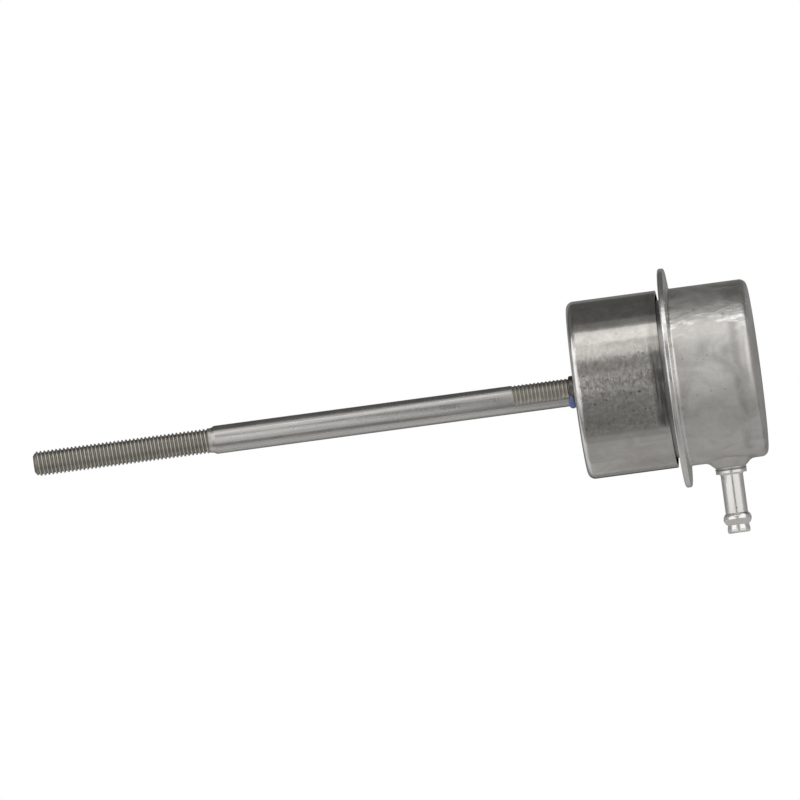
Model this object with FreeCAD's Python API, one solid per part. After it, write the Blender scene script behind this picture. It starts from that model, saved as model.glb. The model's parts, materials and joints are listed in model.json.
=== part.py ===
import FreeCAD, Part
import math
import os

# A spring-return diaphragm actuator that works a turbocharger's bypass valve.
# Millimetres. X runs along the rod, from its free end to the pressure can, and Z is up.
# The origin is the centre of the flat front face, which bolts to a bracket.

# Mounting cup round the spring side, which stands clear of the housing
cover_gap = 2.1
cover_sheet = 1.0
cover_depth = 28.8
cover_corner = 2.3
nose_hole_gap = 0.4

# Inner housing of the spring
housing_sheet = 0.5
housing_radius = 25.4
housing_corner = 1.8
flange_bend = 0.8
vent_radius = 1.5
vent_count = 3
vent_from_end = 5.0

# Rolled flange that clamps the diaphragm
groove_width = 1.65
flange_width = 6.7
curl_reach = 3.6
rim_gap = 0.15
rim_corner = 0.6

# Pressure can
can_sheet = 0.55
can_depth = 25.55
can_corner = 2.3
can_bend = 1.3

# Hose nipple and its drawn boss
port_from_flange = 12.9
boss_radius = 4.9
boss_foot = 7.0
boss_blend = 2.6
boss_height = 2.4
boss_neck = 0.4
braze_thickness = 0.4
braze_lip = 0.12
spigot_gap = 0.05
spigot_length = 2.1
collar_radius = 4.95
collar_thickness = 1.2
tube_radius = 3.6
tube_length = 12.7
bead_radius = 4.5
bead_length = 3.8
tip_waist = 3.4
tip_radius = 3.65
tip_length = 2.6
bore_radius = 2.25
orifice_radius = 1.75

# Rod, whose two threads are left as plain lands at their crests
rod_radius = 4.515
rod_reach = 174.9
thread_radius = 3.97
thread_length = 57.1
thread_shoulder = 1.3
tip_chamfer = 1.3
tail_radius = 2.95
rest_gap = 0.35
stroke = 14.0
stop_gap = 0.3

# Guide of the rod
running_gap = 0.05
bush_wall = 0.535
bush_stand_out = 2.3
press_gap = 0.02
holder_wall = 2.0
holder_flange = 1.2
holder_length = 16.3
wiper_length = 2.4
wiper_depth = 1.1
retainer_thickness = 0.9

# Piston and what clamps the diaphragm to it
fold_room = 4.5
piston_sheet = 0.8
piston_corner = 2.0
skirt_length = 18.5
diaphragm_sheet = 0.4
wall_gap = 0.3
rolled_depth = 3.9
plate_inset = 2.0
plate_sheet = 1.0
plate_lip = 1.2
backing_thickness = 1.2
backing_gap = 0.4
bolt_hole_gap = 0.2
lock_washer_thickness = 1.2
lock_washer_radius = 5.2
nut_height = 5.0
nut_across_flats = 10.0
nut_bore_gap = 0.05
tail_beyond_nut = 0.7
sleeve_wall = 2.2

# Return spring
wire_radius = 1.3
wire_sides = 6
collar_gap = 0.18
active_turns = 6
closed_turn_gap = 0.05
ground_depth = 0.9
seat_sheet = 0.8
seat_collar = 3.0
seat_gap = 0.3
seat_margin = 0.2

# Nuts behind the mounting face
weld_nut_gap = 0.5
screw_bore = 2.5
screw_clearance = 3.3
weld_nut_height = 5.0
pilot_gap = 0.1
pilot_recess = 0.1

# Dab of lacquer on the bush
dab_thickness = 0.22
dab_overhang = 0.75
dab_length = 1.1
dab_rod_gap = 0.32
dab_start_angle = 17.0
dab_sweep = 88.0

# Corners that stand for a bend in a sheet out of sight
bend_corners = 3

# Radii that follow from what lies inside them
can_radius = housing_radius + cover_gap + cover_sheet
flange_radius = can_radius + flange_width
piston_radius = housing_radius - housing_sheet - fold_room
plate_radius = piston_radius - plate_inset
bush_radius = rod_radius + running_gap + bush_wall
holder_bore = bush_radius + press_gap
holder_radius = holder_bore + holder_wall
nose_hole = bush_radius + nose_hole_gap
clamp_hole = tail_radius + bolt_hole_gap
coil_radius = holder_radius + collar_gap + seat_sheet + seat_gap + wire_radius
backing_radius = coil_radius - wire_radius - backing_gap
seat_radius = coil_radius + wire_radius + seat_margin
mount_radius = coil_radius + wire_radius + weld_nut_gap + nut_across_flats / 2

# Places along the rod that several pieces share
housing_face = cover_sheet
housing_floor = housing_face + housing_sheet
flange_front = cover_depth + groove_width
diaphragm_front = flange_front + can_sheet + housing_sheet
diaphragm_rear = diaphragm_front + diaphragm_sheet
flange_rear = diaphragm_rear + can_sheet
can_end = flange_rear + can_depth
port_place = flange_rear + port_from_flange
tail_end = can_end - can_sheet - rest_gap
nut_rear = tail_end - tail_beyond_nut
nut_front = nut_rear - nut_height
plate_rear = nut_front - lock_washer_thickness
plate_front = plate_rear - plate_sheet
piston_rear = plate_front - diaphragm_sheet
piston_front = piston_rear - piston_sheet
rod_shoulder = piston_front - backing_thickness
holder_rear = housing_floor + holder_length
wiper_front = holder_rear - retainer_thickness - wiper_length
seat_rear = housing_floor + holder_flange + seat_sheet
boss_end = can_radius + boss_height
collar_top = boss_end + braze_thickness
tube_top = collar_top + collar_thickness
bead_top = tube_top + tube_length
bead_end = bead_top + bead_length
tip_end = bead_end + tip_length

axis_x = FreeCAD.Vector(1, 0, 0)
axis_z = FreeCAD.Vector(0, 0, 1)


def at(x, radius):
    """A point in the upper half of the plane through the rod's axis."""
    return FreeCAD.Vector(x, 0, radius)


def rounded_wire(corners):
    """A closed wire of straight runs through (point, radius) corners, with tangent arcs.

    A radius below zero is a bevel that takes that much off each run.
    """
    count = len(corners)
    starts, joins, ends = [], [], []
    for i, (point, radius) in enumerate(corners):
        if radius == 0:
            starts.append(point)
            joins.append(None)
            ends.append(point)
            continue
        back = (corners[i - 1][0] - point).normalize()
        ahead = (corners[(i + 1) % count][0] - point).normalize()
        half = back.getAngle(ahead) / 2
        reach = radius / math.tan(half) if radius > 0 else -radius
        starts.append(point + back * reach)
        ends.append(point + ahead * reach)
        if radius > 0:
            bisector = (back + ahead).normalize()
            middle = point + bisector * (radius / math.sin(half) - radius)
            joins.append(Part.Arc(starts[-1], middle, ends[-1]))
        else:
            joins.append(Part.LineSegment(starts[-1], ends[-1]))
    edges = []
    for i in range(count):
        if joins[i]:
            edges.append(joins[i].toShape())
        following = starts[(i + 1) % count]
        if ends[i].distanceToPoint(following) > 1e-6:
            edges.append(Part.LineSegment(ends[i], following).toShape())
    return Part.Wire(edges)


def turned(corners, centre=None, direction=axis_x, angle=360):
    """A solid of revolution from a closed outline of (point, radius) corners."""
    face = Part.Face(rounded_wire(corners))
    return face.revolve(centre or FreeCAD.Vector(0, 0, 0), direction, angle)


def ring(front, rear, inner, outer, chamfer=0.0):
    """A ring round the rod's axis, with its outer corners bevelled."""
    return turned([
        (at(front, inner), 0),
        (at(front, outer), -chamfer),
        (at(rear, outer), -chamfer),
        (at(rear, inner), 0),
    ])


def side_of(path, offset):
    """The bend line moved sideways: its corners and their new bend radii."""
    moved = []
    last = len(path) - 1
    for i, (point, radius) in enumerate(path):
        before = point - path[i - 1][0] if i > 0 else path[1][0] - point
        after = path[i + 1][0] - point if i < last else before
        before = before.normalize()
        after = after.normalize()
        normal_before = FreeCAD.Vector(-before.z, 0, before.x)
        normal_after = FreeCAD.Vector(-after.z, 0, after.x)
        turn = before.x * after.z - before.z * after.x
        share = offset / (1 + normal_before.dot(normal_after))
        place = point + (normal_before + normal_after) * share
        bend = radius - offset * (1 if turn > 0 else -1) if radius > 0 else 0
        moved.append((place, bend))
    return moved


def in_flats(path):
    """The bend line with each bend drawn as a few corners whose sides touch its arc."""
    drawn = []
    for i, (point, radius) in enumerate(path):
        if radius == 0:
            drawn.append((point, 0))
            continue
        back = (path[i - 1][0] - point).normalize()
        ahead = (path[i + 1][0] - point).normalize()
        half = back.getAngle(ahead) / 2
        centre = point + (back + ahead).normalize() * (radius / math.sin(half))
        start = point + back * (radius / math.tan(half)) - centre
        end = point + ahead * (radius / math.tan(half)) - centre
        sweep = math.pi - 2 * half
        reach = 1 / (math.sin(sweep) * math.cos(sweep / 2 / bend_corners))
        for step in range(bend_corners):
            turn = (step + 0.5) / bend_corners * sweep
            arm = start * math.sin(sweep - turn) + end * math.sin(turn)
            drawn.append((centre + arm * reach, 0))
    return drawn


def sheet(path, thickness):
    """Sheet bent along a middle line of (point, bend radius) corners, turned about the rod."""
    outline = side_of(path, thickness / 2) + side_of(path, -thickness / 2)[::-1]
    return turned(outline)


def make_front_cover():
    """The outer cup. Its rear edge is free, and two screw holes flank the nose."""
    half = cover_sheet / 2
    cup = sheet([
        (at(half, nose_hole), 0),
        (at(half, can_radius - half), cover_corner - half),
        (at(cover_depth, can_radius - half), 0),
    ], cover_sheet)
    return cup.cut(screw_holes(-cover_sheet, 3 * cover_sheet))


def screw_holes(start, length):
    """The clearance holes of the two bracket screws."""
    holes = []
    for side in (-1, 1):
        place = FreeCAD.Vector(start, side * mount_radius, 0)
        holes.append(Part.makeCylinder(screw_clearance, length, place, axis_x))
    return Part.makeCompound(holes)


def make_spring_housing():
    """The inner can. Its floor is welded to the cover's face and its flange is clamped."""
    half = housing_sheet / 2
    flange_edge = flange_radius - can_sheet - rim_gap - (diaphragm_sheet + housing_sheet) / 2
    flange_place = flange_front + can_sheet + half
    cup = sheet(in_flats([
        (at(housing_face + half, nose_hole), 0),
        (at(housing_face + half, housing_radius - half), housing_corner - half),
        (at(flange_place, housing_radius - half), flange_bend + half),
        (at(flange_place, flange_edge), 0),
    ]), housing_sheet)
    cup = cup.cut(screw_holes(0, 2 * housing_floor))
    for i in range(vent_count):
        turn = math.radians(90 + 360 * i / vent_count)
        outward = FreeCAD.Vector(0, math.cos(turn), math.sin(turn))
        start = FreeCAD.Vector(housing_floor + vent_from_end, 0, 0) + outward * coil_radius
        cup = cup.cut(Part.makeCylinder(vent_radius, housing_radius, start, outward))
    return cup


def can_form(inset):
    """The solid inside the rear can's wall, with the drawn boss, inset from its outside."""
    radius = can_radius - inset
    body = turned([
        (at(flange_rear - can_sheet, 0), 0),
        (at(flange_rear - can_sheet, radius), 0),
        (at(can_end - inset, radius), can_corner - inset),
        (at(can_end - inset, 0), 0),
    ])
    slope = (boss_foot - boss_radius) / (boss_height - boss_neck)
    mouth = boss_radius - inset
    deep = can_radius - 2 * boss_height
    bend = boss_end - boss_neck - inset * (math.hypot(1, slope) - 1) / slope
    boss = turned_below([
        (below(0, deep), 0),
        (below(mouth + slope * (bend - deep), deep), 0),
        (below(mouth, bend), 0),
        (below(mouth, boss_end), 0),
        (below(0, boss_end), 0),
    ])
    form = body.fuse(boss)
    seam = [edge for edge in form.Edges if is_boss_seam(edge, radius)]
    return form.makeFillet(boss_blend + inset, seam)


def is_boss_seam(edge, radius):
    """Whether the edge is part of the curve where the boss meets the can's wall."""
    if edge.BoundBox.ZMax > 0:
        return False
    return all(abs(math.hypot(point.y, point.z) - radius) < 0.01 for point in edge.discretize(9))


def make_pressure_can():
    """The rear can, with its flange rolled round the rim of the housing."""
    half = can_sheet / 2
    roll = rim_corner - half
    rim = flange_radius - half
    front_leg = flange_front + half
    rear_leg = flange_rear - half
    join = can_radius + can_bend
    flange = sheet([
        (at(front_leg, flange_radius - curl_reach), 0),
        (at(front_leg, rim), roll),
        (at(rear_leg, rim), roll),
        (at(rear_leg, can_radius - half), can_bend + half),
        (at(flange_rear + 2 * can_bend, can_radius - half), 0),
    ], can_sheet)
    start = flange_rear + can_bend
    shell = can_form(0).cut(can_form(can_sheet))
    front = Part.makeCylinder(join, start, FreeCAD.Vector(0, 0, 0), axis_x)
    rest = Part.makeCylinder(join, can_end, FreeCAD.Vector(start, 0, 0), axis_x)
    return shell.cut(front).fuse(flange.cut(rest)).removeSplitter()


def below(radius, drop):
    """A point beside the nipple's axis, at a drop below the rod's axis."""
    return FreeCAD.Vector(port_place + radius, 0, -drop)


def turned_below(corners):
    """A solid turned about the nipple's axis."""
    return turned(corners, FreeCAD.Vector(port_place, 0, 0), axis_z)


def make_hose_nipple():
    """The nipple, with its spigot in the boss, a collar, a tube and a rounded bead."""
    spigot = boss_radius - can_sheet - spigot_gap
    edge = 0.2
    bead_middle = (bead_top + bead_end) / 2
    bead = [
        Part.LineSegment(below(0, bead_top), below(tube_radius, bead_top)),
        Part.Arc(below(tube_radius, bead_top), below(bead_radius, bead_middle), below(tip_waist, bead_end)),
        Part.LineSegment(below(tip_waist, bead_end), below(0, bead_end)),
        Part.LineSegment(below(0, bead_end), below(0, bead_top)),
    ]
    bead_face = Part.Face(Part.Wire([curve.toShape() for curve in bead]))
    body = turned_below([
        (below(0, collar_top - spigot_length), 0),
        (below(spigot, collar_top - spigot_length), -edge),
        (below(spigot, collar_top), 0),
        (below(collar_radius, collar_top), -edge),
        (below(collar_radius, tube_top), -edge),
        (below(tube_radius, tube_top), -2 * edge),
        (below(tube_radius, bead_top), 0),
        (below(0, bead_top), 0),
    ])
    tip = turned_below([
        (below(0, bead_end), 0),
        (below(tip_waist, bead_end), 0),
        (below(tip_radius, bead_end + tip_length / 2), 0),
        (below(tip_radius, tip_end), -2 * edge),
        (below(0, tip_end), 0),
    ])
    bead_ring = bead_face.revolve(FreeCAD.Vector(port_place, 0, 0), axis_z, 360)
    start = FreeCAD.Vector(port_place, 0, -tip_end)
    bore = Part.makeCylinder(bore_radius, tip_end - collar_top, start, axis_z)
    orifice = Part.makeCylinder(orifice_radius, tip_end, start, axis_z)
    return body.fuse([bead_ring, tip]).cut(bore.fuse(orifice))


def make_nipple_braze():
    """The brazed ring between the boss and the collar, a little fuller than the collar."""
    spigot = boss_radius - can_sheet - spigot_gap / 2
    return turned_below([
        (below(spigot, boss_end), 0),
        (below(collar_radius + braze_lip, boss_end), -braze_thickness / 3),
        (below(collar_radius + braze_lip, collar_top), -braze_thickness / 3),
        (below(spigot, collar_top), 0),
    ])


def make_actuator_rod():
    """The rod: threaded free end, smooth shank that runs in the bush, and slim tail."""
    tip = -rod_reach
    thread_end = tip + thread_length
    return turned([
        (at(tip, 0), 0),
        (at(tip, thread_radius - tip_chamfer), 0),
        (at(tip + tip_chamfer, thread_radius), 0),
        (at(thread_end, thread_radius), 0),
        (at(thread_end + thread_shoulder, rod_radius), 0),
        (at(rod_shoulder, rod_radius), 0),
        (at(rod_shoulder, tail_radius), 0),
        (at(tail_end, tail_radius), -tail_beyond_nut / 2),
        (at(tail_end, 0), 0),
    ])


def make_guide_bush():
    """The thin bush that the rod runs in. Its end stands out of the mounting face."""
    bore = rod_radius + running_gap
    edge = bush_wall / 2
    return turned([
        (at(-bush_stand_out, bore), 0),
        (at(-bush_stand_out, bush_radius), -edge),
        (at(wiper_front, bush_radius), 0),
        (at(wiper_front, bore), 0),
    ])


def make_bush_holder():
    """The flanged tube pressed round the bush, with a pocket for the wiper behind it."""
    pocket = bush_radius + wiper_depth
    flange_rear_face = housing_floor + holder_flange
    return turned([
        (at(housing_floor, holder_bore), 0),
        (at(housing_floor, seat_radius), 0),
        (at(flange_rear_face, seat_radius), 0),
        (at(flange_rear_face, holder_radius), 0),
        (at(holder_rear, holder_radius), -holder_flange / 3),
        (at(holder_rear, pocket), 0),
        (at(wiper_front, pocket), 0),
        (at(wiper_front, holder_bore), 0),
    ])


def make_rod_wiper():
    """The wiper in the holder's pocket, with a groove round its bore."""
    outer = bush_radius + wiper_depth - press_gap
    bore = rod_radius + running_gap
    middle = wiper_front + wiper_length / 2
    body = ring(wiper_front, wiper_front + wiper_length, bore, outer)
    groove = ring(middle - wiper_length / 6, middle + wiper_length / 6, 0, bore + wiper_depth / 3)
    return body.cut(groove)


def make_wiper_retainer():
    """The ring pressed into the holder's mouth."""
    outer = bush_radius + wiper_depth - press_gap
    return ring(holder_rear - retainer_thickness, holder_rear, bush_radius, outer)


def make_spring_seat():
    """The collared ring under the spring's front end."""
    half = seat_sheet / 2
    collar = coil_radius - wire_radius - seat_gap - half
    place = seat_rear - half
    return sheet([
        (at(place + seat_collar, collar), 0),
        (at(place, collar), 0),
        (at(place, seat_radius), 0),
    ], seat_sheet)


def coil_arcs(start, pitch, turns):
    """The wire's centre line as half turns: arcs in tilted planes, tangent where they meet."""
    rise = pitch / 2
    reach = math.hypot(coil_radius, rise / 2)
    arcs = []
    for i in range(2 * turns):
        side = 1 if i % 2 == 0 else -1
        x = start + i * rise
        first = FreeCAD.Vector(x, 0, side * coil_radius)
        middle = FreeCAD.Vector(x + rise / 2, side * reach, 0)
        last = FreeCAD.Vector(x + rise, 0, -side * coil_radius)
        arcs.append(Part.Arc(first, middle, last).toShape())
    return arcs


def wire_section(start):
    """The wire's section where it starts, as a many-sided outline of the wire's full width."""
    corners = []
    for i in range(wire_sides + 1):
        turn = 2 * math.pi * (i + 0.5) / wire_sides
        corner_radius = wire_radius / math.cos(math.pi / wire_sides)
        x = start + corner_radius * math.sin(turn)
        corners.append(at(x, coil_radius + corner_radius * math.cos(turn)))
    return Part.Wire(Part.makePolygon(corners).Edges)


def make_return_spring():
    """The compression spring, with a closed turn at each end ground flat."""
    closed_pitch = 2 * wire_radius + closed_turn_gap
    start = seat_rear + ground_depth - wire_radius
    finish = piston_front - ground_depth + wire_radius
    active_length = finish - start - 2 * closed_pitch
    path = coil_arcs(start, closed_pitch, 1)
    path += coil_arcs(start + closed_pitch, active_length / active_turns, active_turns)
    path += coil_arcs(finish - closed_pitch, closed_pitch, 1)
    spring = Part.Wire(path).makePipe(Part.Face(wire_section(start)))
    size = 4 * coil_radius
    for face in (seat_rear - size, piston_front):
        corner = FreeCAD.Vector(face, -size / 2, -size / 2)
        spring = spring.cut(Part.makeBox(size, size, size, corner))
    return spring


def make_diaphragm():
    """The rolling diaphragm: flat rim, one rolled fold, wall round the piston, flat head."""
    half = diaphragm_sheet / 2
    rim = diaphragm_front + half
    rim_edge = flange_radius - can_sheet - rim_gap - (diaphragm_sheet + housing_sheet) / 2
    outer_leg = housing_radius - housing_sheet - wall_gap - half
    inner_leg = piston_radius + wall_gap + half
    fold = diaphragm_front - rolled_depth
    fold_bend = (outer_leg - inner_leg) / 2
    head = piston_rear + half
    mouth_bend = flange_bend + housing_sheet + wall_gap + half
    return sheet(in_flats([
        (at(rim, rim_edge), 0),
        (at(rim, outer_leg), mouth_bend),
        (at(fold, outer_leg), fold_bend),
        (at(fold, inner_leg), fold_bend),
        (at(head, inner_leg), piston_corner + wall_gap + half),
        (at(head, clamp_hole), 0),
    ]), diaphragm_sheet)


def make_piston_cup():
    """The drawn piston: flat head, rounded shoulder and straight skirt."""
    half = piston_sheet / 2
    return sheet(in_flats([
        (at(piston_front + half, clamp_hole), 0),
        (at(piston_front + half, piston_radius - half), piston_corner - half),
        (at(piston_rear - skirt_length, piston_radius - half), 0),
    ]), piston_sheet)


def make_pressure_plate():
    """The plate on the diaphragm's head, its edge turned away from the rubber."""
    half = plate_sheet / 2
    middle = plate_front + half
    return sheet(in_flats([
        (at(middle, clamp_hole), 0),
        (at(middle, plate_radius - plate_lip), plate_sheet),
        (at(middle + plate_lip / 2, plate_radius), 0),
    ]), plate_sheet)


def make_backing_washer():
    """The washer between the rod's shoulder and the piston."""
    return ring(rod_shoulder, piston_front, tail_radius + nut_bore_gap, backing_radius)


def make_lock_washer():
    """The washer under the rod's nut."""
    return ring(plate_rear, nut_front, tail_radius + bolt_hole_gap, lock_washer_radius)


def hexagon_nut(front, height, across, bore, y=0.0):
    """A plain hexagon nut with one flat facing +Y and one facing -Y."""
    corner_radius = across / math.sqrt(3)
    corners = []
    for i in range(7):
        turn = math.radians(60 * i)
        corners.append(FreeCAD.Vector(front, y + corner_radius * math.sin(turn), corner_radius * math.cos(turn)))
    body = Part.Face(Part.makePolygon(corners)).extrude(axis_x * height)
    start = FreeCAD.Vector(front, y, 0)
    return body.cut(Part.makeCylinder(bore, height, start, axis_x))


def make_rod_nut():
    """The nut on the rod's tail."""
    return hexagon_nut(nut_front, nut_height, nut_across_flats, tail_radius + nut_bore_gap)


def make_weld_nuts():
    """The two nuts for the bracket's screws, whose pilots sit in the holes of both floors."""
    nuts = []
    for side in (-1, 1):
        place = side * mount_radius
        nut = hexagon_nut(housing_floor, weld_nut_height, nut_across_flats, screw_bore, place)
        start = FreeCAD.Vector(pilot_recess, place, 0)
        length = housing_floor - pilot_recess
        pilot = Part.makeCylinder(screw_clearance - pilot_gap, length, start, axis_x)
        pilot = pilot.cut(Part.makeCylinder(screw_bore, length, start, axis_x))
        nuts.append(nut.fuse(pilot).removeSplitter())
    return Part.makeCompound(nuts)


def make_stop_sleeve():
    """The sleeve on the rod that meets the bush's holder at full stroke."""
    front = holder_rear + stroke + stop_gap
    bore = rod_radius + running_gap
    return ring(front, rod_shoulder, bore, bore + sleeve_wall, sleeve_wall / 6)


def make_seal_lacquer():
    """The dab of lacquer on the lower front of the bush, on the side of -Y."""
    inner = bush_radius + press_gap
    outer = bush_radius + dab_thickness
    rod_side = rod_radius + dab_rod_gap
    nose = -bush_stand_out
    dab = turned([
        (at(nose - dab_overhang, rod_side), 0),
        (at(nose - dab_overhang, outer), -dab_thickness),
        (at(nose + dab_length, outer), -dab_thickness / 3),
        (at(nose + dab_length, inner), 0),
        (at(nose - press_gap, inner), 0),
        (at(nose - press_gap, rod_side), 0),
    ], angle=dab_sweep)
    dab.rotate(FreeCAD.Vector(0, 0, 0), axis_x, 90 + dab_start_angle)
    return dab


makers = {
    "front_cover": make_front_cover,
    "spring_housing": make_spring_housing,
    "pressure_can": make_pressure_can,
    "hose_nipple": make_hose_nipple,
    "nipple_braze": make_nipple_braze,
    "actuator_rod": make_actuator_rod,
    "guide_bush": make_guide_bush,
    "bush_holder": make_bush_holder,
    "rod_wiper": make_rod_wiper,
    "wiper_retainer": make_wiper_retainer,
    "spring_seat": make_spring_seat,
    "return_spring": make_return_spring,
    "diaphragm": make_diaphragm,
    "piston_cup": make_piston_cup,
    "pressure_plate": make_pressure_plate,
    "backing_washer": make_backing_washer,
    "lock_washer": make_lock_washer,
    "rod_nut": make_rod_nut,
    "weld_nuts": make_weld_nuts,
    "stop_sleeve": make_stop_sleeve,
    "seal_lacquer": make_seal_lacquer,
}

os.makedirs("parts", exist_ok=True)
for name, maker in makers.items():
    shape = maker()
    shape.exportStep(f"parts/{name}.step")
    box = shape.BoundBox
    print(f"{name}: {len(shape.Solids)} solid(s), valid {shape.isValid()}, volume {shape.Volume:.2f} mm3,"
          f" X {box.XMin:.2f} to {box.XMax:.2f}, Z {box.ZMin:.2f} to {box.ZMax:.2f}")
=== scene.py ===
import json
import math
import bpy
import bmesh
from mathutils import Matrix, Vector, noise

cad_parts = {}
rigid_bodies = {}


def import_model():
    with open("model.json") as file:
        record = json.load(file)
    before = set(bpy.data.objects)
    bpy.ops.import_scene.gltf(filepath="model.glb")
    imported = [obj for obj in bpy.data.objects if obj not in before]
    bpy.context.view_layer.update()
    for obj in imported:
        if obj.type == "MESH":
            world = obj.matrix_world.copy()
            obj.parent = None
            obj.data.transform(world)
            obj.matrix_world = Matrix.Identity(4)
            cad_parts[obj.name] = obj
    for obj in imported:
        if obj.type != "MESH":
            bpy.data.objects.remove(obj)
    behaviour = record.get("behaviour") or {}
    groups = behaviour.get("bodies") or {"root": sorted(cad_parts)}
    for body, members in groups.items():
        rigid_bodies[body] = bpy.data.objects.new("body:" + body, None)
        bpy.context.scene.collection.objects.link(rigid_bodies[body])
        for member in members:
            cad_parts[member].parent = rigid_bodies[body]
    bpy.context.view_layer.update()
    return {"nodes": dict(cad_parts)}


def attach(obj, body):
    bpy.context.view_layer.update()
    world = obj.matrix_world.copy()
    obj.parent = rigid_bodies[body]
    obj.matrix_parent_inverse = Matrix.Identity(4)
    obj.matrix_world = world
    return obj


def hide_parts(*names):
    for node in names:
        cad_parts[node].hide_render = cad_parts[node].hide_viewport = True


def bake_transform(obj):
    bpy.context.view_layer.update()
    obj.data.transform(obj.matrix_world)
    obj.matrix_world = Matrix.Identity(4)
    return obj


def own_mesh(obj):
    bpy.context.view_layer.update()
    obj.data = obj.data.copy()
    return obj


for item in list(bpy.data.objects):
    bpy.data.objects.remove(item)
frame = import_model()
nodes = frame["nodes"]
scene = bpy.context.scene
mm = 0.001
farAway = 1000.0       # millimetres, past every piece
print("frame loaded with", len(nodes), "CAD nodes")


# View of the photograph: a long lens, the can's end turned a little away and rolled upwards
photoView = {
    "azimuth": 2.2,        # degrees, toward the can's end
    "roll": 7.67,          # degrees, raises the can's end
    "centreX": -56.4,      # millimetres along the rod at the picture's middle
    "centreZ": 4.75,
    "width": 255.1,        # millimetres across the picture
    "distance": 600.0,
    "nearest": 0.01,       # metres, first and last distance that shows
    "farthest": 20.0,
}


def makeCamera(v):
    turn, roll = math.radians(v["azimuth"]), math.radians(v["roll"])
    level = Vector((math.cos(turn), math.sin(turn), 0))
    back = Vector((math.sin(turn), -math.cos(turn), 0))
    up = Vector((0, 0, 1))
    right = level * math.cos(roll) - up * math.sin(roll)
    over = level * math.sin(roll) + up * math.cos(roll)
    place = Vector((v["centreX"], 0, v["centreZ"])) * mm + back * v["distance"] * mm
    data = bpy.data.cameras.new("photoCamera")
    data.type = "ORTHO"
    data.ortho_scale = v["width"] * mm
    data.clip_start = v["nearest"]
    data.clip_end = v["farthest"]
    camera = bpy.data.objects.new("photoCamera", data)
    scene.collection.objects.link(camera)
    camera.matrix_world = Matrix.Translation(place) @ Matrix((right, over, back)).transposed().to_4x4()
    scene.camera = camera


makeCamera(photoView)
print("camera placed")


# Small helpers for shader trees
def addNode(tree, kind, inputs=None, **settings):
    made = tree.nodes.new("ShaderNode" + kind)
    for name, value in settings.items():
        setattr(made, name, value)
    for name, value in (inputs or {}).items():
        if isinstance(value, bpy.types.NodeSocket):
            tree.links.new(value, made.inputs[name])
        else:
            made.inputs[name].default_value = value
    return made


def calculate(tree, operation, first, second, clamp=False):
    return addNode(tree, "Math", {0: first, 1: second}, operation=operation, use_clamp=clamp).outputs[0]


def add(tree, first, second, clamp=False):
    return calculate(tree, "ADD", first, second, clamp)


def subtract(tree, first, second):
    return calculate(tree, "SUBTRACT", first, second)


def multiply(tree, first, second):
    return calculate(tree, "MULTIPLY", first, second)


def larger(tree, first, second):
    return calculate(tree, "MAXIMUM", first, second)


def addShares(tree, first, firstShare, second, secondShare, clamp=False):
    return add(tree, multiply(tree, first, firstShare), multiply(tree, second, secondShare), clamp)


def lessWhere(tree, mask, share):
    # one outside the mask, less by the share inside it
    return subtract(tree, 1.0, multiply(tree, mask, share))


def rescale(tree, value, low, high, newLow, newHigh):
    numbers = {"Value": value, "From Min": low, "From Max": high, "To Min": newLow, "To Max": newHigh}
    return addNode(tree, "MapRange", numbers).outputs[0]


def blendColours(tree, share, first, second):
    sockets = {0: share, 6: first, 7: second}      # a Mix node's share and its two colours
    return addNode(tree, "Mix", sockets, data_type="RGBA").outputs[2]


def layTone(tree, colour, mask, strength, tone):
    # the tone goes over the colour where the mask says, at most by its strength
    return blendColours(tree, multiply(tree, mask, strength), colour, tone)


def stretchVector(tree, vector, factors):
    return addNode(tree, "VectorMath", {0: vector, 1: factors}, operation="MULTIPLY").outputs[0]


def scaleVector(tree, vector, factor):
    return addNode(tree, "VectorMath", {0: vector, "Scale": factor}, operation="SCALE").outputs[0]


# Groups that several finishes share
def startGroup(name, inputs, output):
    group = bpy.data.node_groups.new(name, "ShaderNodeTree")
    for label, kind in inputs.items():
        group.interface.new_socket(label, in_out="INPUT", socket_type="NodeSocket" + kind)
    group.interface.new_socket(output, in_out="OUTPUT", socket_type="NodeSocketFloat")
    return group, group.nodes.new("NodeGroupInput").outputs, group.nodes.new("NodeGroupOutput").inputs


def makeGrainGroup():
    # long or round grain, by how each direction is stretched
    inputs = {"Vector": "Vector", "Stretch": "Vector", "Size": "Float", "Detail": "Float"}
    group, given, result = startGroup("metalGrain", inputs, "Value")
    long = stretchVector(group, given["Vector"], given["Stretch"])
    pattern = addNode(group, "TexNoise", {
        "Vector": long, "Scale": given["Size"], "Detail": given["Detail"], "Roughness": 0.6,
    })
    group.links.new(rescale(group, pattern.outputs[0], 0.25, 0.75, 0.0, 1.0), result["Value"])
    return group


def makePitGroup():
    # scattered round pits: only some cells of the pattern hold one, and each has its own size
    inputs = {"Vector": "Vector", "Size": "Float", "Share": "Float", "Softness": "Float"}
    group, given, result = startGroup("surfacePits", inputs, "Mask")
    cells = addNode(group, "TexVoronoi", {
        "Vector": given["Vector"], "Scale": given["Size"], "Randomness": 1.0,
    }).outputs
    parts = addNode(group, "SeparateColor", {0: cells["Color"]}).outputs
    chosen = calculate(group, "LESS_THAN", parts[0], given["Share"])
    radius = rescale(group, parts[1], 0.0, 1.0, 0.1, 0.42)
    inside = subtract(group, radius, cells["Distance"])
    soft = calculate(group, "DIVIDE", inside, given["Softness"], clamp=True)
    group.links.new(multiply(group, soft, chosen), result["Mask"])
    return group


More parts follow.
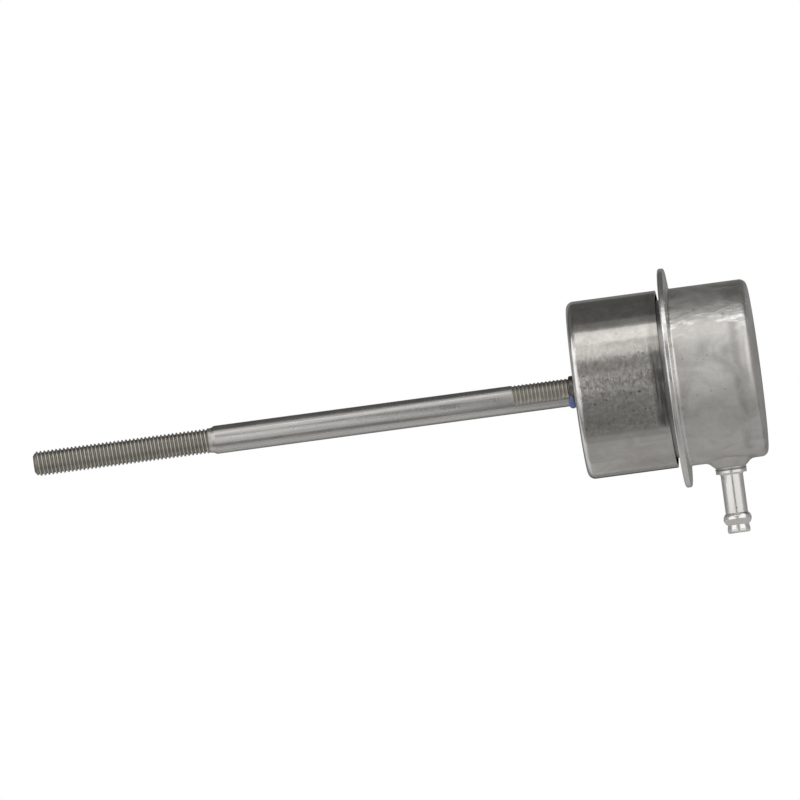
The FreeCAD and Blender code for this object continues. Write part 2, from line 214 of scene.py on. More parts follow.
def makeSmudgeGroup():
    # broad cloudy patches, such as handling marks and oil film
    inputs = {"Vector": "Vector", "Size": "Float", "Low": "Float", "High": "Float"}
    group, given, result = startGroup("smudges", inputs, "Mask")
    pattern = addNode(group, "TexNoise", {
        "Vector": given["Vector"], "Scale": given["Size"], "Detail": 4.0, "Distortion": 1.2,
    })
    patches = addNode(group, "MapRange", {
        "Value": pattern.outputs[0], "From Min": given["Low"], "From Max": given["High"],
    }, interpolation_type="SMOOTHSTEP")
    group.links.new(patches.outputs[0], result["Mask"])
    return group


def makeBandGroup():
    # a soft-edged band between two values of one coordinate
    inputs = {"Value": "Float", "From": "Float", "To": "Float", "Fade": "Float"}
    group, given, result = startGroup("positionBand", inputs, "Mask")
    rise = calculate(group, "DIVIDE", subtract(group, given["Value"], given["From"]), given["Fade"])
    fall = calculate(group, "DIVIDE", subtract(group, given["To"], given["Value"]), given["Fade"])
    lower = calculate(group, "MINIMUM", rise, fall)
    group.links.new(add(group, lower, 0.5, clamp=True), result["Mask"])
    return group


grainGroup = makeGrainGroup()
pitGroup = makePitGroup()
smudgeGroup = makeSmudgeGroup()
bandGroup = makeBandGroup()


# In all of these a size is how many patterns fit in a metre
def addGrain(tree, place, size, stretch=(1.0, 1.0, 1.0), detail=3.0):
    inputs = {"Vector": place, "Stretch": stretch, "Size": size, "Detail": detail}
    return addNode(tree, "Group", inputs, node_tree=grainGroup).outputs[0]


def addPits(tree, place, size, share, softness=0.12):
    inputs = {"Vector": place, "Size": size, "Share": share, "Softness": softness}
    return addNode(tree, "Group", inputs, node_tree=pitGroup).outputs[0]


def addSmudges(tree, place, size, low=0.4, high=0.62):
    inputs = {"Vector": place, "Size": size, "Low": low, "High": high}
    return addNode(tree, "Group", inputs, node_tree=smudgeGroup).outputs[0]


def addBand(tree, value, start, end, fade):
    # start, end and the width of the soft edge in millimetres
    inputs = {"Value": value, "From": start * mm, "To": end * mm, "Fade": fade * mm}
    return addNode(tree, "Group", inputs, node_tree=bandGroup).outputs[0]


def startMaterial(name, metallic, settings=None):
    material = bpy.data.materials.new(name)
    material.use_nodes = True
    tree = material.node_tree
    shader = tree.nodes["Principled BSDF"]
    shader.inputs["Metallic"].default_value = metallic
    for label, value in (settings or {}).items():
        shader.inputs[label].default_value = value
    place = addNode(tree, "TexCoord").outputs["Object"]
    return material, tree, shader, place


def finishMaterial(tree, shader, colour, roughness, height, depth):
    # depth is the height of the relief in millimetres
    tree.links.new(colour, shader.inputs["Base Color"])
    tree.links.new(roughness, shader.inputs["Roughness"])
    bump = addNode(tree, "Bump", {"Height": height, "Distance": depth * mm, "Strength": 1.0})
    tree.links.new(bump.outputs[0], shader.inputs["Normal"])


def plainMetal(name, m):
    # bare or plated metal: two tones of colour, grain in one direction, fine grain and a few pits
    material, tree, shader, place = startMaterial(name, 1.0)
    long = addGrain(tree, place, m["grain"], m["stretch"])
    fine = addGrain(tree, place, m["fine"], detail=2.0)
    cloud = addSmudges(tree, place, m["cloud"], 0.35, 0.7)
    pits = addPits(tree, place, m["pitSize"], m["pitShare"])
    colour = blendColours(tree, cloud, m["dark"], m["light"])
    tinted = scaleVector(tree, colour, rescale(tree, long, 0.0, 1.0, 1.0 - m["streak"], 1.0))
    pitted = layTone(tree, tinted, pits, 0.7, m["pitColour"])
    worn = add(tree, multiply(tree, cloud, m["roughSpread"]), m["rough"])
    worn = add(tree, worn, multiply(tree, long, m["roughSpread"] * 0.5))
    relief = addShares(tree, long, m["longRelief"], fine, m["fineRelief"])
    relief = subtract(tree, relief, pits)
    finishMaterial(tree, shader, pitted, worn, relief, m["depth"])
    return material


def grey(level, warmth=0.0):
    return (level * (1 + warmth / 2), level, level * (1 - warmth), 1.0)


acrossRod = (1.0, 0.12, 0.12)      # marks that run round the rod's axis
alongRod = (0.03, 1.0, 1.0)        # marks that run along the rod
allWays = (1.0, 1.0, 1.0)
metals = {
    "housingSteel": {
        "dark": grey(0.42, 0.02), "light": grey(0.55, 0.02), "pitColour": grey(0.12), "stretch": acrossRod,
        "grain": 1500.0, "fine": 5200.0, "cloud": 70.0, "pitSize": 800.0, "pitShare": 0.12, "streak": 0.12,
        "rough": 0.24, "roughSpread": 0.1, "longRelief": 0.5, "fineRelief": 0.2, "depth": 0.006,
    },
    "nipplePlating": {
        "dark": grey(0.96, 0.035), "light": grey(1.0, 0.025), "pitColour": grey(0.3), "stretch": allWays,
        "grain": 900.0, "fine": 5200.0, "cloud": 160.0, "pitSize": 900.0, "pitShare": 0.04, "streak": 0.05,
        "rough": 0.17, "roughSpread": 0.06, "longRelief": 0.3, "fineRelief": 0.1, "depth": 0.001,
    },
    "brazeMetal": {
        "dark": grey(0.42, 0.06), "light": grey(0.62, 0.05), "pitColour": grey(0.1), "stretch": allWays,
        "grain": 1300.0, "fine": 5200.0, "cloud": 300.0, "pitSize": 1500.0, "pitShare": 0.15, "streak": 0.15,
        "rough": 0.3, "roughSpread": 0.15, "longRelief": 0.6, "fineRelief": 0.2, "depth": 0.02,
    },
    "bushMetal": {
        "dark": grey(0.12, 0.08), "light": grey(0.24, 0.08), "pitColour": grey(0.08), "stretch": acrossRod,
        "grain": 2200.0, "fine": 5200.0, "cloud": 200.0, "pitSize": 1500.0, "pitShare": 0.08, "streak": 0.2,
        "rough": 0.28, "roughSpread": 0.12, "longRelief": 0.5, "fineRelief": 0.2, "depth": 0.006,
    },
    "turnedSteel": {
        "dark": grey(0.45, 0.01), "light": grey(0.56, 0.01), "pitColour": grey(0.15), "stretch": acrossRod,
        "grain": 3000.0, "fine": 6000.0, "cloud": 120.0, "pitSize": 900.0, "pitShare": 0.03, "streak": 0.15,
        "rough": 0.22, "roughSpread": 0.08, "longRelief": 0.7, "fineRelief": 0.1, "depth": 0.008,
    },
    "pressedSteel": {
        "dark": grey(0.40, 0.03), "light": grey(0.54, 0.03), "pitColour": grey(0.12), "stretch": alongRod,
        "grain": 1500.0, "fine": 6000.0, "cloud": 90.0, "pitSize": 800.0, "pitShare": 0.06, "streak": 0.1,
        "rough": 0.26, "roughSpread": 0.12, "longRelief": 0.4, "fineRelief": 0.3, "depth": 0.005,
    },
    "springSteel": {
        "dark": grey(0.10, 0.03), "light": grey(0.20, 0.04), "pitColour": grey(0.04), "stretch": allWays,
        "grain": 1200.0, "fine": 6000.0, "cloud": 200.0, "pitSize": 1200.0, "pitShare": 0.08, "streak": 0.2,
        "rough": 0.34, "roughSpread": 0.12, "longRelief": 0.4, "fineRelief": 0.3, "depth": 0.006,
    },
    "zincNut": {
        "dark": grey(0.52, -0.02), "light": grey(0.70, -0.01), "pitColour": grey(0.25), "stretch": acrossRod,
        "grain": 1500.0, "fine": 5200.0, "cloud": 260.0, "pitSize": 1200.0, "pitShare": 0.05, "streak": 0.1,
        "rough": 0.3, "roughSpread": 0.12, "longRelief": 0.4, "fineRelief": 0.3, "depth": 0.006,
    },
}
finishes = {name: plainMetal(name, m) for name, m in metals.items()}
print("plain metals mixed:", len(finishes))


# Bright drawn cup round the spring side: mottled and pitted in the middle, with lighter flecks there that
# are painted glints; polished at its free edge, with a streaky painted dark reflection near it at middle
# heights; a painted highlight on its front rounding
coverFinish = {
    "dark": grey(0.33, 0.11), "light": grey(0.78, 0.055), "busyTone": 0.08, "calmTone": 0.52,
    "wanderSize": 1500.0, "wander": 0.0011,        # how far the spots are drawn out of shape, in metres
    "lineSize": 4200.0, "broadLineSize": 1500.0, "spotSize": 800.0, "cloudSize": 170.0,
    "spotShare": 0.72, "broadLineShare": 0.28, "cloudShare": 0.2, "mottleShare": 0.95,
    "pit": grey(0.07, 0.12), "pitSize": 760.0, "pitShare": 0.26, "pitStrength": 0.7,
    # the light fleck colour paints glints on the mottled middle
    "speckGlint": grey(1.0, 0.03), "speckSize": 1000.0, "speckShare": 0.16, "speckGlintStrength": 0.5,
    "rough": 0.13, "mottleRough": 0.10,
    "lines": 0.0045,           # depth in millimetres of the fine lines that run round the cup
    "calmLines": 0.2,          # share of them left on the smooth lower and upper parts
    "mottleDepth": 1.6, "pitDepth": 1.2,           # against the lines' depth
    "smoothBelow": -14.5, "smoothAbove": 11.0, "upperCalm": 0.7,      # heights, in millimetres
    "polishFrom": 27.0, "polishStrength": 0.8,     # places along the rod, in millimetres, from here on
    # the front tone is a painted highlight on the front rounding; the calming there only softens the fine
    # lines
    "frontTo": 1.7, "frontHighlightTone": grey(0.95, 0.02), "frontHighlightStrength": 0.75, "frontCalm": 0.8,
    # the edge tone is a painted dark reflection near the free edge, broken into streaks
    "edgeFrom": 25.6, "edgeDarkReflectionTone": grey(0.17, 0.1), "edgeDarkReflectionStreakSize": 900.0,
}


def makeCoverSteel(m):
    material, tree, shader, place = startMaterial("coverSteel", 1.0)
    parts = addNode(tree, "SeparateXYZ", {0: place}).outputs
    along, height = parts[0], parts[2]
    wander = addNode(tree, "TexNoise", {"Vector": place, "Scale": m["wanderSize"], "Detail": 2.0})
    shift = scaleVector(tree, wander.outputs["Color"], m["wander"])
    bentPlace = addNode(tree, "VectorMath", {0: place, 1: shift}, operation="ADD").outputs[0]
    speckPlace = stretchVector(tree, bentPlace, (1.0, -1.0, 1.0))      # so that specks and pits lie apart
    fineLines = addGrain(tree, place, m["lineSize"], (1.0, 0.06, 0.06), 2.0)
    broadLines = addGrain(tree, place, m["broadLineSize"], (1.0, 0.22, 0.22), 3.0)
    edgeDarkReflectionStreaks = addGrain(tree, place, m["edgeDarkReflectionStreakSize"], (1.0, 0.1, 0.1), 2.0)
    spots = addGrain(tree, bentPlace, m["spotSize"], detail=4.0)
    cloud = addSmudges(tree, place, m["cloudSize"], 0.3, 0.7)
    pits = addPits(tree, bentPlace, m["pitSize"], m["pitShare"], 0.25)
    glintSpecks = addPits(tree, speckPlace, m["speckSize"], m["speckShare"], 0.2)

    polish = addBand(tree, along, m["polishFrom"], farAway, 0.3)
    front = addBand(tree, along, -farAway, m["frontTo"], 0.5)
    edge = addBand(tree, along, m["edgeFrom"], farAway, 1.4)
    lower = addBand(tree, height, -farAway, m["smoothBelow"], 1.2)
    upper = addBand(tree, height, m["smoothAbove"], farAway, 3.0)
    smooth = larger(tree, lower, multiply(tree, upper, m["upperCalm"]))
    calm = larger(tree, smooth, polish)
    busy = subtract(tree, 1.0, calm)

    blotch = addShares(tree, spots, m["spotShare"], broadLines, m["broadLineShare"])
    mottle = multiply(tree, blotch, busy)
    livePits = multiply(tree, pits, busy)
    mix = addShares(tree, cloud, m["cloudShare"], mottle, m["mottleShare"], clamp=True)
    tone = rescale(tree, calm, 0.0, 1.0, m["busyTone"], m["calmTone"])
    colour = blendColours(tree, add(tree, mix, tone, clamp=True), m["dark"], m["light"])
    colour = layTone(tree, colour, livePits, m["pitStrength"], m["pit"])
    # painted glints: light flecks in the mottled middle
    colour = layTone(tree, colour, multiply(tree, glintSpecks, busy), m["speckGlintStrength"], m["speckGlint"])
    # painted highlight: the front rounding is made lighter in colour
    colour = layTone(tree, colour, front, m["frontHighlightStrength"], m["frontHighlightTone"])
    # painted dark reflection: a streaky dark band near the free edge, at middle heights only
    edgeDarkReflectionZone = multiply(tree, edge, subtract(tree, 1.0, smooth))
    edgeDarkReflectionShare = multiply(tree, edgeDarkReflectionZone, rescale(tree, edgeDarkReflectionStreaks, 0.2, 0.7, 0.4, 0.95))
    colour = blendColours(tree, edgeDarkReflectionShare, colour, m["edgeDarkReflectionTone"])
    rough = add(tree, multiply(tree, mottle, m["mottleRough"]), m["rough"])

    live = add(tree, multiply(tree, busy, 1.0 - m["calmLines"]), m["calmLines"])
    live = multiply(tree, live, lessWhere(tree, front, m["frontCalm"]))
    live = multiply(tree, live, rescale(tree, blotch, 0.3, 0.75, 0.55, 1.3))
    live = multiply(tree, live, lessWhere(tree, polish, m["polishStrength"]))
    relief = multiply(tree, fineLines, live)
    relief = add(tree, relief, multiply(tree, mottle, m["mottleDepth"]))
    relief = subtract(tree, relief, multiply(tree, livePits, m["pitDepth"]))
    finishMaterial(tree, shader, colour, rough, relief, m["lines"])
    return material


# Satin drawn can with the rolled flange: smeared waves near its highlight band, with lighter, glossier wisps
# there that are partly smears and partly painted sheen; a painted highlight on the flange; patchy painted
# shade on a band just before its rear rounding
canFinish = {
    # the light tone here is painted sheen and painted highlight, on the wisps and the flange
    "dark": grey(0.62, 0.055), "light": grey(0.83, 0.05), "paintedHighlightTone": grey(1.0, 0.03),
    "cloudSize": 90.0, "cloudShare": 0.6, "spotSize": 700.0, "spotShare": 0.4, "lineSize": 4200.0,
    "pit": grey(0.2, 0.06), "pitSize": 420.0, "pitShare": 0.05, "pitStrength": 0.35,
    "grainSize": 900.0, "grainShare": 0.30, "grainStrength": 0.4,      # small dark grains
    "grainsFrom": -11.0, "grainsTo": 9.0,          # heights, in millimetres
    # painted shade: a darker tone in patches on a band just before the rear rounding
    "rearShadeTone": grey(0.46, 0.05), "rearShadeStrength": 0.7, "patchSize": 60.0,
    # wisps: partly smears, partly painted sheen
    "waveSize": 260.0, "wispSize": 240.0, "wispSheenStrength": 0.8, "wispGloss": 0.12,
    "wavesAt": 14.0, "wavesWidth": 9.0,            # heights, in millimetres
    "rearShadeAt": 51.6, "rearShadeWidth": 2.6,            # places along the rod, in millimetres
    # the flange is made lighter as a painted highlight, and also glossier
    "flangeEnd": 33.2, "flangeHighlightStrength": 0.6, "flangeGloss": 0.2,
    "rough": 0.34, "smearRough": 0.14,
    "lines": 0.007,            # depth in millimetres of the fine lines that run round the can
    "waves": 0.09,             # depth in millimetres of the smeared waves
    "spotDepth": 0.6, "pitDepth": 0.8,             # against the lines' depth
}


def makeCanSteel(m):
    material, tree, shader, place = startMaterial("canSteel", 1.0)
    parts = addNode(tree, "SeparateXYZ", {0: place}).outputs
    along, height = parts[0], parts[2]
    wavePlace = stretchVector(tree, place, (0.55, 1.0, 1.6))
    wispPlace = stretchVector(tree, place, (0.5, 1.0, 1.5))
    waves = addNode(tree, "TexNoise", {
        "Vector": wavePlace, "Scale": m["waveSize"], "Detail": 3.0, "Distortion": 2.2,
    }).outputs[0]
    wisps = addSmudges(tree, wispPlace, m["wispSize"], 0.50, 0.62)
    cloud = addSmudges(tree, place, m["cloudSize"], 0.32, 0.68)
    patches = addSmudges(tree, place, m["patchSize"], 0.40, 0.56)
    spots = addGrain(tree, place, m["spotSize"], detail=4.0)
    fineLines = addGrain(tree, place, m["lineSize"], (1.0, 0.08, 0.08), 2.0)
    pits = addPits(tree, place, m["pitSize"], m["pitShare"], 0.25)
    grains = addPits(tree, place, m["grainSize"], m["grainShare"], 0.3)

    waveZone = addBand(tree, height, m["wavesAt"], m["wavesAt"] + m["wavesWidth"], 5.0)
    middle = addBand(tree, height, m["grainsFrom"], m["grainsTo"], 5.0)
    rearShadeBand = addBand(tree, along, m["rearShadeAt"], m["rearShadeAt"] + m["rearShadeWidth"], 1.6)
    flange = addBand(tree, along, -farAway, m["flangeEnd"], 0.6)
    sheenWisps = multiply(tree, wisps, waveZone)

    mix = addShares(tree, cloud, m["cloudShare"], spots, m["spotShare"])
    colour = blendColours(tree, mix, m["dark"], m["light"])
    # painted shade in patches on a band just before the rear rounding
    colour = layTone(tree, colour, multiply(tree, rearShadeBand, patches), m["rearShadeStrength"], m["rearShadeTone"])
    colour = layTone(tree, colour, pits, m["pitStrength"], m["pit"])
    colour = layTone(tree, colour, multiply(tree, grains, middle), m["grainStrength"], m["pit"])
    # partly smears, partly painted sheen: lighter wisps in the heights of the highlight band
    colour = layTone(tree, colour, sheenWisps, m["wispSheenStrength"], m["paintedHighlightTone"])
    # painted highlight on the flange, which is also glossier
    colour = layTone(tree, colour, flange, m["flangeHighlightStrength"], m["paintedHighlightTone"])
    rough = add(tree, multiply(tree, cloud, m["smearRough"]), m["rough"])
    rough = subtract(tree, rough, multiply(tree, sheenWisps, m["wispGloss"]))
    rough = subtract(tree, rough, multiply(tree, flange, m["flangeGloss"]))

    waveShare = multiply(tree, waveZone, m["waves"] / m["lines"])
    relief = add(tree, fineLines, multiply(tree, waves, waveShare))
    relief = add(tree, relief, multiply(tree, spots, m["spotDepth"]))
    relief = subtract(tree, relief, multiply(tree, pits, m["pitDepth"]))
    finishMaterial(tree, shader, colour, rough, relief, m["lines"])
    return material


# Rod: drawn shank with lines along it, browner threads with painted shade at their root and a painted
# highlight on their crests
rodFinish = {
    "shank": grey(0.66, 0.035), "shankDark": grey(0.46, 0.05),
    # the dark thread tone also serves as painted shade at the thread root; the crest tone is a painted
    # highlight
    "thread": grey(0.58, 0.09), "threadDarkAndShade": grey(0.27, 0.14), "crest": grey(0.70, 0.07),
    "streakSize": 1500.0, "spotSize": 1300.0, "cloudSize": 130.0,
    "threadEnd": -117.4, "innerFrom": -20.9, "innerTo": 0.5,       # places along the rod, in millimetres
    "outerRoot": (3.45, 3.85), "outerCrest": (3.90, 3.95),         # radii over which each tone comes or goes
    "innerRoot": (4.20, 4.38), "innerCrest": (4.40, 4.44), "innerLand": (4.47, 4.50),
    # the crest strength is that of a painted highlight on the thread crests
    "spotStrength": 0.4, "rootShadeStrength": 0.8, "crestHighlightStrength": 0.6, "innerStrength": 0.35,
    "rough": 0.24, "cloudRough": 0.08, "threadRough": 0.20, "crestGloss": 0.04,
    "lines": 0.03, "spotDepth": 0.12,
}


def radiusMask(tree, radius, limits, first, last):
    low, high = limits
    return rescale(tree, radius, low * mm, high * mm, first, last)


def makeRodSteel(m):
    material, tree, shader, place = startMaterial("rodSteel", 1.0)
    along = addNode(tree, "SeparateXYZ", {0: place}).outputs[0]
    flatPlace = stretchVector(tree, place, (0.0, 1.0, 1.0))
    radius = addNode(tree, "VectorMath", {0: flatPlace}, operation="LENGTH").outputs["Value"]
    streaks = addGrain(tree, place, m["streakSize"], (0.015, 1.0, 1.0))
    spots = addGrain(tree, place, m["spotSize"])
    cloud = addSmudges(tree, place, m["cloudSize"], 0.35, 0.7)

    outer = addBand(tree, along, -farAway, m["threadEnd"], 0.4)
    inner = addBand(tree, along, m["innerFrom"], m["innerTo"], 0.4)
    inner = multiply(tree, inner, radiusMask(tree, radius, m["innerLand"], 1.0, 0.0))
    threads = larger(tree, outer, inner)
    outerRoot = radiusMask(tree, radius, m["outerRoot"], 1.0, 0.0)
    innerRoot = radiusMask(tree, radius, m["innerRoot"], 1.0, 0.0)
    outerCrest = radiusMask(tree, radius, m["outerCrest"], 0.0, 1.0)
    innerCrest = radiusMask(tree, radius, m["innerCrest"], 0.0, 1.0)
    rootShade = addShares(tree, outerRoot, outer, innerRoot, inner, clamp=True)
    crests = addShares(tree, outerCrest, outer, innerCrest, inner, clamp=True)

    shank = blendColours(tree, streaks, m["shankDark"], m["shank"])
    thread = layTone(tree, m["thread"], spots, m["spotStrength"], m["threadDarkAndShade"])
    # painted shade at the thread root
    thread = layTone(tree, thread, rootShade, m["rootShadeStrength"], m["threadDarkAndShade"])
    # painted highlight on the thread crests, which are also a little glossier below
    thread = layTone(tree, thread, crests, m["crestHighlightStrength"], m["crest"])
    thread = layTone(tree, thread, inner, m["innerStrength"], m["threadDarkAndShade"])
    colour = blendColours(tree, threads, shank, thread)
    rough = add(tree, multiply(tree, cloud, m["cloudRough"]), m["rough"])
    rough = add(tree, rough, multiply(tree, threads, m["threadRough"]))
    rough = subtract(tree, rough, multiply(tree, crests, m["crestGloss"]))
    relief = add(tree, streaks, multiply(tree, spots, m["spotDepth"]))
    finishMaterial(tree, shader, colour, rough, relief, m["lines"])
    return material


# Finishes that aren't metal
lacquerFinish = {
    "dark": (0.13, 0.19, 0.42, 1), "light": (0.20, 0.24, 0.62, 1), "cloudSize": 700.0, "fineSize": 1500.0,
    "rough": (0.28, 0.42), "depth": 0.02, "settings": {"IOR": 1.48},
}
rubberFinish = {
    "dark": grey(0.028), "light": grey(0.05), "cloudSize": 150.0, "weaveSize": 1600.0,
    "rough": (0.5, 0.7), "depth": 0.05,
}
graphiteFinish = {
    "dark": grey(0.02), "light": grey(0.075), "flakeSize": 2400.0, "stretch": (0.4, 1.0, 1.0),
    "rough": (0.32, 0.6), "depth": 0.02,
}


def makeLacquer(m):
    material, tree, shader, place = startMaterial("blueLacquer", 0.0, m["settings"])
    cloud = addSmudges(tree, place, m["cloudSize"], 0.3, 0.7)
    fine = addGrain(tree, place, m["fineSize"])
    colour = blendColours(tree, cloud, m["dark"], m["light"])
    rough = rescale(tree, fine, 0.0, 1.0, *m["rough"])
    finishMaterial(tree, shader, colour, rough, fine, m["depth"])
    return material


def makeRubber(m):
    material, tree, shader, place = startMaterial("diaphragmRubber", 0.0)
    weave = addNode(tree, "TexVoronoi", {"Vector": place, "Scale": m["weaveSize"]}).outputs["Distance"]
    cloud = addSmudges(tree, place, m["cloudSize"])
    colour = blendColours(tree, cloud, m["dark"], m["light"])
    rough = rescale(tree, cloud, 0.0, 1.0, *m["rough"])
    finishMaterial(tree, shader, colour, rough, weave, m["depth"])
    return material


def makeGraphite(m):
    material, tree, shader, place = startMaterial("wiperGraphite", 0.0)
    flakes = addGrain(tree, place, m["flakeSize"], m["stretch"])
    colour = blendColours(tree, flakes, m["dark"], m["light"])
    rough = rescale(tree, flakes, 0.0, 1.0, *m["rough"])
    finishMaterial(tree, shader, colour, rough, flakes, m["depth"])
    return material


finishes["coverSteel"] = makeCoverSteel(coverFinish)
finishes["canSteel"] = makeCanSteel(canFinish)
finishes["rodSteel"] = makeRodSteel(rodFinish)
finishes["blueLacquer"] = makeLacquer(lacquerFinish)
finishes["diaphragmRubber"] = makeRubber(rubberFinish)
finishes["wiperGraphite"] = makeGraphite(graphiteFinish)
print("finishes ready:", len(finishes))

cadFinishes = {
    "front_cover": "coverSteel",
    "spring_housing": "housingSteel",
    "pressure_can": "canSteel",
    "hose_nipple": "nipplePlating",
    "nipple_braze": "brazeMetal",
    "actuator_rod": "rodSteel",
    "guide_bush": "bushMetal",
    "bush_holder": "turnedSteel",
    "rod_wiper": "wiperGraphite",
    "wiper_retainer": "pressedSteel",
    "spring_seat": "pressedSteel",
    "return_spring": "springSteel",
    "diaphragm": "diaphragmRubber",
    "piston_cup": "pressedSteel",
    "pressure_plate": "pressedSteel",
    "backing_washer": "turnedSteel",
    "lock_washer": "turnedSteel",
    "rod_nut": "zincNut",
    "weld_nuts": "zincNut",
    "stop_sleeve": "turnedSteel",
    "seal_lacquer": "blueLacquer",
}
for name, finish in cadFinishes.items():
    for slot in nodes[name].material_slots:
        slot.material = finishes[finish]
print("CAD nodes dressed")


# Helpers for new pieces, which are modelled in millimetres
def finishPiece(name, bm, body, replaced, finish, angle):
    # edges sharper than the angle, in degrees, stay crisp
    bmesh.ops.remove_doubles(bm, verts=bm.verts, dist=2e-4)
    bmesh.ops.recalc_face_normals(bm, faces=bm.faces)
    bmesh.ops.scale(bm, vec=(mm, mm, mm), verts=bm.verts)
    mesh = bpy.data.meshes.new(name)
    bm.to_mesh(mesh)
    bm.free()
    mesh.shade_smooth()
    mesh.set_sharp_from_angle(angle=math.radians(angle))
    mesh.materials.append(finishes[finish])
    piece = bpy.data.objects.new(name, mesh)
    scene.collection.objects.link(piece)
    if body:
        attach(piece, body)
    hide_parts(*replaced)
    print("piece", name, len(mesh.polygons), "faces")
    return piece


def within(value, low, high):
    return min(max(value, low), high)


def smoothStep(low, high, value):
    share = within((value - low) / (high - low), 0.0, 1.0)
    return share * share * (3 - 2 * share)


def screwSurface(section, pitch, turns, steps):
    # one turn is spun and then repeated along X; the last point of a turn is the first of the next
    turn = bmesh.new()
    verts = [turn.verts.new((x, 0, r)) for x, r in section]
    edges = [turn.edges.new(pair) for pair in zip(verts, verts[1:])]
    bmesh.ops.spin(
        turn, geom=verts + edges, cent=(0, 0, 0), axis=(1, 0, 0),
        dvec=(pitch / steps, 0, 0), angle=2 * math.pi, steps=steps,
    )
    mesh = bpy.data.meshes.new("turn")
    turn.to_mesh(mesh)
    turn.free()
    bm = bmesh.new()
    for i in range(turns):
        before = len(bm.verts)
        bm.from_mesh(mesh)
        bm.verts.ensure_lookup_table()
        bmesh.ops.translate(bm, verts=bm.verts[before:], vec=(i * pitch, 0, 0))
    bpy.data.meshes.remove(mesh)
    bmesh.ops.remove_doubles(bm, verts=bm.verts, dist=2e-3)
    return bm


def threadBetween(s, start, end, root, crest, early):
    # a screw surface that starts some turns early, so that both ends can be cut; narrow crest, wider root
    profile = [(0.0, root), (0.26, crest), (0.50, crest), (0.76, root), (1.0, root)]
    first = start - s["pitch"] * early
    section = [(first + share * s["pitch"], r) for share, r in profile]
    turns = math.ceil((end - start) / s["pitch"]) + 2
    return screwSurface(section, s["pitch"], turns, s["steps"])


def shapeRadius(bm, rule):
    for v in bm.verts:
        r = math.hypot(v.co.y, v.co.z)
        scale = rule(v.co, r) / r
        v.co.y *= scale
        v.co.z *= scale


def cutAt(bm, x, side):
    bmesh.ops.bisect_plane(
        bm, geom=bm.verts[:] + bm.edges[:] + bm.faces[:], dist=1e-4,
        plane_co=(x, 0, 0), plane_no=(side, 0, 0), clear_outer=True,
    )


def openLoop(bm, x):
    return [e for e in bm.edges if e.is_boundary and all(abs(v.co.x - x) < 1e-3 for v in e.verts)]


def extendLoop(bm, loop, stations):
    # each station is a place and a radius, or a rule that gives both from the angle
    for station in stations:
        made = bmesh.ops.extrude_edge_only(bm, edges=loop)["geom"]
        for v in made:
            if isinstance(v, bmesh.types.BMVert):
                x, radius = station(math.atan2(v.co.z, v.co.y)) if callable(station) else station
                scale = radius / math.hypot(v.co.y, v.co.z)
                v.co = (x, v.co.y * scale, v.co.z * scale)
        loop = [e for e in made if isinstance(e, bmesh.types.BMEdge)]
    return loop


def joinMeshes(bm, other):
    mesh = bpy.data.meshes.new("joined")
    other.to_mesh(mesh)
    other.free()
    bm.from_mesh(mesh)
    bpy.data.meshes.remove(mesh)


# Rod with its two rolled threads; the inner one has a smooth land on its lower front
rodShape = {
    "pitch": 1.25, "steps": 48, "early": 1.3, "shank": 4.515, "shankMiddle": -70.0,
    "tip": -174.9, "crest": 3.97, "root": 3.42, "tipRadius": 2.5, "tipLength": 1.4, "tipDome": 0.02,
    "threadEnd": -117.8, "runOut": 1.6, "fullAt": 0.2, "shoulder": 1.3,
    "innerFrom": -20.9, "innerTo": -0.6, "innerRoot": 4.17, "innerCrest": 4.46, "innerShoulder": 0.4,
    "landFrom": 16.0, "landTo": 118.0, "landJag": 7.0, "landFade": 3,      # degrees below the front
    "shoulderPlace": 46.8, "shoulderChamfer": 0.15, "tail": 2.95, "tailEnd": 57.1, "tailChamfer": 0.35,
    "endHole": 0.4,            # radius of the small face that closes each end
}


